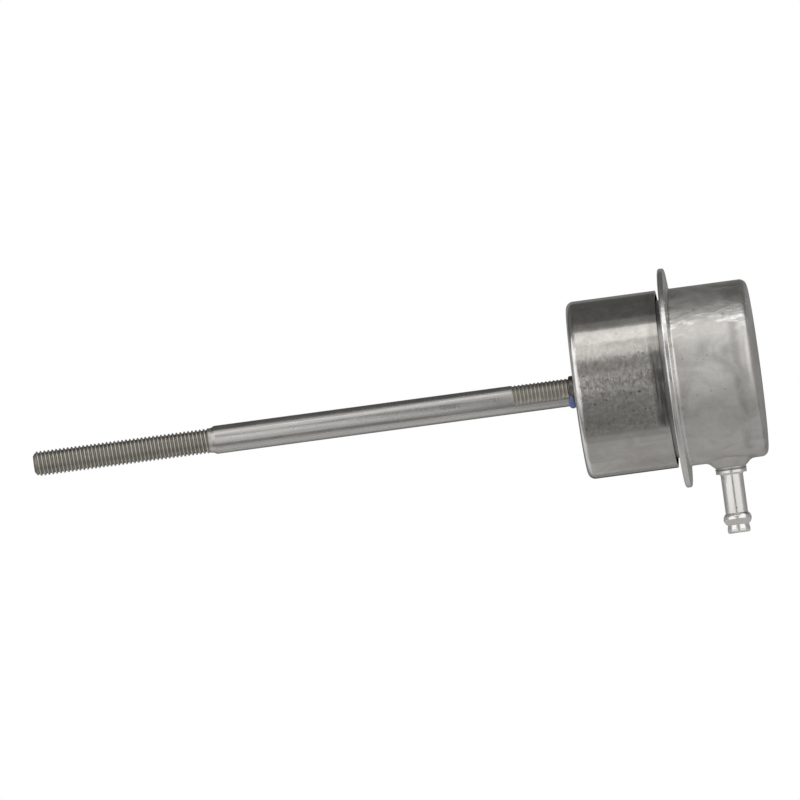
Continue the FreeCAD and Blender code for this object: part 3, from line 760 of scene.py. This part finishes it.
def makeRod(s):
    def outerRule(co, r):
        # a rounded tip below the crest, and a root that runs out before the shank
        domed = within((co.x - s["tip"]) / s["tipLength"], 0, 1)
        high = s["tipRadius"] + (s["crest"] - s["tipRadius"]) * math.sin(domed * math.pi / 2)
        ranOut = smoothStep(s["threadEnd"] - s["runOut"], s["threadEnd"] - s["fullAt"], co.x)
        low = s["root"] + (s["crest"] - s["root"]) * ranOut
        return within(r, low, high)

    def innerRule(co, r):
        # each turn ends at the land a little earlier or later than the next
        below = math.degrees(math.atan2(-co.z, -co.y))
        turnNumber = math.floor((co.x - s["innerFrom"]) / s["pitch"] + below / 360.0)
        jag = s["landJag"] * noise.noise(Vector((turnNumber * 3.7, 1.3, 0.7)))
        fade = s["landFade"]
        land = smoothStep(s["landFrom"] + jag - fade, s["landFrom"] + jag + fade, below)
        land *= 1 - smoothStep(s["landTo"] + jag - fade, s["landTo"] + jag + fade, below)
        ends = 1 - within((co.x - s["innerFrom"]) / s["innerShoulder"], 0.0, 1.0)
        return r + (s["shank"] - r) * max(land, ends)

    bm = threadBetween(s, s["tip"], s["threadEnd"], s["root"], s["crest"], s["early"])
    shapeRadius(bm, outerRule)
    cutAt(bm, s["tip"], -1)
    cutAt(bm, s["threadEnd"], 1)
    tipEnd = s["tip"] - s["tipDome"]
    tipLoop = extendLoop(bm, openLoop(bm, s["tip"]), [
        (tipEnd, s["tipRadius"] * 0.8),
        (tipEnd, s["endHole"]),
    ])
    bmesh.ops.contextual_create(bm, geom=tipLoop)
    inner = threadBetween(s, s["innerFrom"], s["innerTo"], s["innerRoot"], s["innerCrest"], s["early"])
    shapeRadius(inner, innerRule)
    cutAt(inner, s["innerFrom"], -1)
    cutAt(inner, s["innerTo"], 1)
    joinMeshes(bm, inner)
    shankLoop = extendLoop(bm, openLoop(bm, s["threadEnd"]), [
        (s["threadEnd"] + 0.3 * s["shoulder"], s["crest"] + 0.05),
        (s["threadEnd"] + s["shoulder"], s["shank"] - 0.03),
        (s["threadEnd"] + s["shoulder"] + 0.2, s["shank"]),
        (s["shankMiddle"], s["shank"]),
        (s["innerFrom"] - 0.05, s["shank"]),
    ])
    bmesh.ops.bridge_loops(bm, edges=shankLoop + openLoop(bm, s["innerFrom"]))
    endLoop = extendLoop(bm, openLoop(bm, s["innerTo"]), [
        (s["innerTo"] + 0.3, s["shank"]),
        (s["shoulderPlace"] - s["shoulderChamfer"], s["shank"]),
        (s["shoulderPlace"], s["shank"] - s["shoulderChamfer"]),
        (s["shoulderPlace"], s["tail"]),
        (s["tailEnd"] - s["tailChamfer"], s["tail"]),
        (s["tailEnd"], s["tail"] - s["tailChamfer"]),
        (s["tailEnd"], s["endHole"]),
    ])
    bmesh.ops.contextual_create(bm, geom=endLoop)
    finishPiece("threadedRod", bm, "rod", ["actuator_rod"], "rodSteel", 40.0)


makeRod(rodShape)


# Round-wire return spring, closed and ground at both ends
springShape = {
    "coil": 9.7, "wire": 1.3, "sides": 14, "stepsPerTurn": 44, "activeTurns": 6,
    "closedPitch": 2.65, "closedTo": 0.85, "openFrom": 1.15,       # turns from either end
    "front": 3.5, "rear": 48.0, "ground": 0.9, "keep": 0.685,
}


def makeSpring(s):
    start = s["front"] + s["ground"] - s["wire"]
    finish = s["rear"] - s["ground"] + s["wire"]
    activePitch = (finish - start - 2 * s["closedPitch"]) / s["activeTurns"]
    steps = s["stepsPerTurn"]
    total = steps * (s["activeTurns"] + 2)
    bm = bmesh.new()
    made = bmesh.ops.create_circle(bm, segments=s["sides"], radius=s["wire"], cap_ends=False)
    bmesh.ops.rotate(bm, verts=made["verts"], cent=(0, 0, 0), matrix=Matrix.Rotation(math.pi / 2, 3, "X"))
    bmesh.ops.translate(bm, verts=made["verts"], vec=(start, 0, s["coil"]))
    loop = bm.verts[:] + bm.edges[:]
    for i in range(total):
        fromEnd = min(i + 0.5, total - i - 0.5) / steps
        share = smoothStep(s["closedTo"], s["openFrom"], fromEnd)
        pitch = s["closedPitch"] + (activePitch - s["closedPitch"]) * share
        loop = bmesh.ops.spin(
            bm, geom=loop, cent=(0, 0, 0), axis=(1, 0, 0), dvec=(pitch / steps, 0, 0),
            angle=2 * math.pi / steps, steps=1,
        )["geom_last"]
    cutAt(bm, s["front"], -1)
    cutAt(bm, s["rear"], 1)
    bmesh.ops.holes_fill(bm, edges=[e for e in bm.edges if e.is_boundary], sides=0)
    piece = finishPiece("coilSpring", bm, "housing", ["return_spring"], "springSteel", 40.0)
    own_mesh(piece)


makeSpring(springShape)


# Rolling diaphragm in two joined parts: the rim and its fold stay with the housing, the sleeve is tied to no
# body
diaphragmShape = {
    "thick": 0.4, "rim": 31.7, "rimEdge": 34.05, "outerLeg": 24.4, "innerLeg": 20.9, "mouthBend": 1.8,
    "fold": 27.6, "foldSteps": 14, "head": 49.0, "headBend": 2.5, "hole": 3.15, "rings": 8, "steps": 96,
}


def startLine(x, radius):
    bm = bmesh.new()
    return bm, bm.verts.new((x, 0, radius))


def runTo(bm, last, x, radius):
    made = bmesh.ops.extrude_vert_indiv(bm, verts=[last])["verts"][0]
    made.co = (x, 0, radius)
    return made


def bendLine(bm, last, x, radius, degrees, steps=7):
    # turns the line about a point beside it
    made = bmesh.ops.spin(
        bm, geom=[last], cent=(x, 0, radius), axis=(0, 1, 0), dvec=(0, 0, 0),
        angle=math.radians(degrees), steps=steps,
    )["geom_last"]
    return [v for v in made if isinstance(v, bmesh.types.BMVert)][0]


def wrapSheet(bm, thick, steps):
    # the line becomes a sheet of even thickness, turned about the rod
    bmesh.ops.spin(
        bm, geom=bm.verts[:] + bm.edges[:], cent=(0, 0, 0), axis=(1, 0, 0), dvec=(0, 0, 0),
        angle=2 * math.pi, steps=steps, use_merge=True,
    )
    bmesh.ops.remove_doubles(bm, verts=bm.verts, dist=1e-4)
    bmesh.ops.recalc_face_normals(bm, faces=bm.faces)
    bm.normal_update()
    for v in bm.verts:
        v.co += v.normal * thick / 2       # so that the drawn line stays the sheet's middle
    bmesh.ops.solidify(bm, geom=bm.faces[:] + bm.edges[:] + bm.verts[:], thickness=thick)


def makeDiaphragm(s):
    bm, last = startLine(s["rim"], s["rimEdge"])
    last = runTo(bm, last, s["rim"], s["outerLeg"] + s["mouthBend"])
    last = bendLine(bm, last, s["rim"] - s["mouthBend"], s["outerLeg"] + s["mouthBend"], 90)
    last = runTo(bm, last, s["fold"], s["outerLeg"])
    bendLine(bm, last, s["fold"], (s["outerLeg"] + s["innerLeg"]) / 2, -180, s["foldSteps"])
    wrapSheet(bm, s["thick"], s["steps"])
    finishPiece("diaphragmRim", bm, "housing", ["diaphragm"], "diaphragmRubber", 50.0)

    bm, last = startLine(s["fold"], s["innerLeg"])
    sleeveEnd = s["head"] - s["headBend"]
    for i in range(1, s["rings"] + 1):
        last = runTo(bm, last, s["fold"] + (sleeveEnd - s["fold"]) * i / s["rings"], s["innerLeg"])
    last = bendLine(bm, last, sleeveEnd, s["innerLeg"] - s["headBend"], 90)
    runTo(bm, last, s["head"], s["hole"])
    wrapSheet(bm, s["thick"], s["steps"])
    sleeve = finishPiece(
        "diaphragmSleeve", bm, None, ["diaphragm"], "diaphragmRubber", 50.0,
    )
    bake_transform(sleeve)


makeDiaphragm(diaphragmShape)


# Hexagon nuts with threaded bores: two behind the mounting face, one on the rod's tail
nutShape = {
    "acrossFlats": 10.0, "height": 5.0, "pitch": 1.0, "steps": 48, "early": 1.0,
    "chamfer": 0.96, "chamferSlope": 0.577,        # share of the flats' radius, tangent of 30 degrees
    "frontCut": 0.35, "rearCut": 0.4, "mouth": 0.15, "pilotMouth": 0.1,
    "weldFloor": 1.5, "weldPlace": 16.5, "weldRoot": 2.98, "weldCrest": 2.5,
    "pilotFrom": 0.1, "pilotRadius": 3.2,
    "tailFrom": 51.4, "tailRoot": 3.25, "tailCrest": 3.0,
}


def hexStation(s, x, into):
    # a point on the hexagon's edge line, lower at the corners where the chamfer cuts deeper
    def rule(angle):
        flat = s["acrossFlats"] / 2
        turn = (angle + math.pi / 6) % (math.pi / 3) - math.pi / 6
        radius = flat / math.cos(turn)
        return x + into * (radius - flat * s["chamfer"]) * s["chamferSlope"], radius
    return rule


def threadedNut(s, front, root, crest, pilot):
    start = s["pilotFrom"] if pilot else front
    end = front + s["height"]
    bm = threadBetween(s, start, end, root, crest, s["early"])
    low, high = start + s["frontCut"], end - s["rearCut"]
    cutAt(bm, low, -1)
    cutAt(bm, high, 1)
    face = s["acrossFlats"] / 2 * s["chamfer"]
    stations = [(end, root + s["mouth"]), (end, face), hexStation(s, end, -1)]
    if pilot:
        stations += [hexStation(s, front, 0), (front, s["pilotRadius"])]
        stations += [(start, s["pilotRadius"]), (start, root + s["pilotMouth"])]
    else:
        stations += [hexStation(s, front, 1), (front, face), (front, root + s["mouth"])]
    outer = extendLoop(bm, openLoop(bm, high), stations)
    bmesh.ops.bridge_loops(bm, edges=outer + openLoop(bm, low))
    return bm


def makeNuts(s):
    bm = threadedNut(s, s["weldFloor"], s["weldRoot"], s["weldCrest"], True)
    bmesh.ops.translate(bm, verts=bm.verts, vec=(0, s["weldPlace"], 0))
    other = threadedNut(s, s["weldFloor"], s["weldRoot"], s["weldCrest"], True)
    bmesh.ops.translate(other, verts=other.verts, vec=(0, -s["weldPlace"], 0))
    joinMeshes(bm, other)
    finishPiece("weldNuts", bm, "housing", ["weld_nuts"], "zincNut", 30.0)
    bm = threadedNut(s, s["tailFrom"], s["tailRoot"], s["tailCrest"], False)
    finishPiece("tailNut", bm, "rod", ["rod_nut"], "zincNut", 30.0)


makeNuts(nutShape)


# Brushed-on dab of blue lacquer that seals the bush's thread
dabShape = {
    "middle": 60.0, "spread": 47.0,                # degrees below the front
    "place": -2.05, "reach": 0.95, "lean": 0.75, "peak": -0.35, "rearLimit": -1.15,
    "radius": 5.07, "thick": 0.33, "sunk": 0.1, "ripple": 0.16, "rippleSize": 1.6, "subdivisions": 5,
}


def makeDab(s):
    bm = bmesh.new()
    bmesh.ops.create_icosphere(bm, subdivisions=s["subdivisions"], radius=1.0)
    for v in bm.verts:
        along, around, out = v.co
        wave = noise.noise(Vector((along * s["rippleSize"], around * s["rippleSize"], 3.1)))
        ripple = s["ripple"] * wave
        angle = math.radians(s["middle"] + s["spread"] * (around + ripple * 0.4))
        lean = s["lean"] * (around - s["peak"]) ** 2 * (0.5 - 0.5 * along)
        x = s["place"] + s["reach"] * along + lean + ripple * 0.5
        depth = s["thick"] * (1 + ripple) if out > 0 else s["sunk"]
        radius = s["radius"] + depth * out
        v.co = (min(x, s["rearLimit"]), -radius * math.cos(angle), -radius * math.sin(angle))
    finishPiece("lacquerDab", bm, "housing", ["seal_lacquer"], "blueLacquer", 60.0)


makeDab(dabShape)


# Plain pale floor, white world and soft studio light
studio = {
    "middle": -0.05, "floorPlace": -52.0, "floorSize": 6.0, "floorColour": grey(0.86),
    "matLift": 0.001,          # metres from the floor to the mats
    "worldPlain": 0.62,        # what dull surfaces receive from all round
    "lamp": {"elevation": 62.0, "distance": 1.2, "height": 0.7, "width": 1.5, "level": 0.9},
    # what metal mirrors: from and to in degrees above the level line in front, left and right
    # in metres, brightness
    "cards": {
        "levelDark": (-4.0, 14.0, -0.062, 0.22, 0.11),
        "levelPale": (-4.0, 17.0, -0.70, -0.062, 1.0),
        "highGrey": (14.0, 38.5, -0.045, 0.30, 0.28),
        "lowerBox": (38.5, 52.0, -0.045, 0.75, 0.74),
        "boxGap": (52.0, 59.5, -0.045, 0.75, 0.60),
        "upperBox": (59.5, 79.0, -0.045, 0.75, 1.22),
        "boxTop": (79.0, 93.0, -0.045, 0.75, 0.24),
        "rodGap": (17.0, 36.0, -0.35, -0.045, 0.30),
        "rodLower": (36.0, 47.0, -0.80, -0.045, 0.78),
        "rodBright": (47.0, 60.0, -0.80, -0.045, 1.35),
        "rodUpper": (60.0, 72.0, -0.80, -0.045, 0.80),
        "rodTop": (72.0, 82.0, -0.80, -0.045, 0.42),
        "rodEdge": (82.0, 93.0, -0.80, -0.045, 0.14),
        "ceilingFront": (93.0, 122.0, -2.0, 2.0, 0.11),
        "ceilingRear": (122.0, 151.0, -2.0, 2.0, 0.10),
    },
    # mats on the floor: left, right, front and rear in millimetres, brightness
    "mats": {
        "coverFar": (-30.0, 29.5, -1000.0, -75.0, 0.22),
        "coverMiddle": (-22.0, 29.5, -75.0, -52.0, 0.20),
        "coverNear": (-22.0, 29.5, -52.0, -41.0, 0.235),
        "coverClose": (-22.0, 29.5, -41.0, -32.0, 0.33),
        "coverUnder": (-22.0, 29.5, -32.0, -5.0, 0.42),
        "canNear": (29.5, 300.0, -75.0, -26.0, 0.33),
        "canFar": (29.5, 300.0, -1000.0, -75.0, 0.45),
        "canUnder": (29.5, 300.0, -26.0, 27.0, 0.39),
        "rodNear": (-350.0, -22.0, -70.0, -26.0, 0.26),
        "rodMiddle": (-350.0, -22.0, -120.0, -70.0, 0.46),
        "rodFar": (-350.0, -30.0, -1000.0, -120.0, 0.74),
        "rearNear": (-2000.0, 2000.0, 27.0, 60.0, 0.28),
        "coverRear": (-22.0, 29.5, 60.0, 1600.0, 0.09),
        "leftRear": (-2000.0, -22.0, 60.0, 1600.0, 0.18),
        "rightRear": (29.5, 2000.0, 60.0, 1600.0, 0.18),
    },
    "backWall": (1.6, -6.0, 6.0, 0.9, 0.22),     # distance, left, right, height in metres, brightness
    "sideWalls": (1.0, -0.22, 1.6, 0.5, 0.30),   # distance, front, rear, height in metres, brightness
}


def stageMaterial(name, colour, glow=None):
    material = bpy.data.materials.new(name)
    material.use_nodes = True
    tree = material.node_tree
    if glow is not None:
        light = addNode(tree, "Emission", {"Color": colour, "Strength": glow})
        tree.links.new(light.outputs[0], tree.nodes["Material Output"].inputs["Surface"])
    else:
        shader = tree.nodes["Principled BSDF"]
        place = addNode(tree, "TexCoord").outputs["Object"]
        pattern = addNode(tree, "TexNoise", {"Vector": place, "Scale": 30.0})
        share = rescale(tree, pattern.outputs[0], 0.3, 0.7, 0.0, 1.0)
        darker = tuple(c * 0.985 for c in colour[:3]) + (1.0,)
        tree.links.new(blendColours(tree, share, darker, colour), shader.inputs["Base Color"])
        shader.inputs["Roughness"].default_value = 0.9
    return material


def makeCard(name, corners, glow):
    # a grey or black card that only reflections see
    mesh = bpy.data.meshes.new(name)
    bm = bmesh.new()
    bm.faces.new([bm.verts.new(c) for c in corners])
    bm.to_mesh(mesh)
    bm.free()
    mesh.materials.append(stageMaterial(name, grey(1.0), glow))
    card = bpy.data.objects.new(name, mesh)
    scene.collection.objects.link(card)
    card.visible_camera = False
    card.visible_diffuse = False
    card.visible_shadow = False


def makeFloor(s):
    bm = bmesh.new()
    bmesh.ops.create_grid(bm, x_segments=2, y_segments=2, size=s["floorSize"] / 2)
    bmesh.ops.translate(bm, verts=bm.verts, vec=(s["middle"], 0, s["floorPlace"] * mm))
    mesh = bpy.data.meshes.new("floor")
    bm.to_mesh(mesh)
    bm.free()
    mesh.materials.append(stageMaterial("paleFloor", s["floorColour"]))
    floor = bpy.data.objects.new("floor", mesh)
    scene.collection.objects.link(floor)


def makeWorld(s):
    # white where the camera and metal see it, plainer for what lights dull surfaces
    world = bpy.data.worlds.new("studio")
    scene.world = world
    world.use_nodes = True
    tree = world.node_tree
    tree.nodes.clear()
    path = addNode(tree, "LightPath").outputs
    seen = larger(tree, path["Is Camera Ray"], path["Is Glossy Ray"])
    seen = larger(tree, seen, path["Is Transmission Ray"])
    white = addNode(tree, "Background", {"Color": grey(1.0), "Strength": 1.0})
    plain = addNode(tree, "Background", {"Color": grey(1.0), "Strength": s["worldPlain"]})
    both = addNode(tree, "MixShader", {0: seen, 1: plain.outputs[0], 2: white.outputs[0]})
    tree.links.new(both.outputs[0], addNode(tree, "OutputWorld").inputs[0])


def makeCards(s):
    for name, (low, high, left, right, level) in s["cards"].items():
        ends = [(-math.cos(math.radians(e)), math.sin(math.radians(e))) for e in (low, high)]
        (y0, z0), (y1, z1) = ends
        makeCard(name, [(left, y0, z0), (right, y0, z0), (right, y1, z1), (left, y1, z1)], level)
    bottom = s["floorPlace"] * mm + s["matLift"]
    distance, left, right, height, level = s["backWall"]
    base = [(left, distance, bottom), (right, distance, bottom)]
    makeCard("backWall", base + [(right, distance, height), (left, distance, height)], level)
    distance, front, rear, height, level = s["sideWalls"]
    for name, x in (("leftWall", -distance), ("rightWall", distance)):
        base = [(x, front, bottom), (x, rear, bottom)]
        makeCard(name, base + [(x, rear, height), (x, front, height)], level)
    for name, (left, right, front, rear, level) in s["mats"].items():
        corners = [(left, front), (right, front), (right, rear), (left, rear)]
        makeCard(name, [(x * mm, y * mm, bottom) for x, y in corners], level)


def makeLamp(s):
    lamp = s["lamp"]
    data = bpy.data.lights.new("softLamp", "AREA")
    data.shape = "RECTANGLE"
    data.size = lamp["width"]
    data.size_y = lamp["height"]
    data.energy = lamp["level"] * math.pi * lamp["height"] * lamp["width"]
    light = bpy.data.objects.new("softLamp", data)
    scene.collection.objects.link(light)
    turn = math.radians(lamp["elevation"])
    light.location = (s["middle"], -lamp["distance"] * math.cos(turn), lamp["distance"] * math.sin(turn))
    light.rotation_euler = (math.pi / 2 - turn, 0, 0)
    light.visible_glossy = False       # the cards above are what metal mirrors


makeFloor(studio)
makeWorld(studio)
makeCards(studio)
makeLamp(studio)
scene.view_settings.view_transform = "Standard"
print("studio lit")
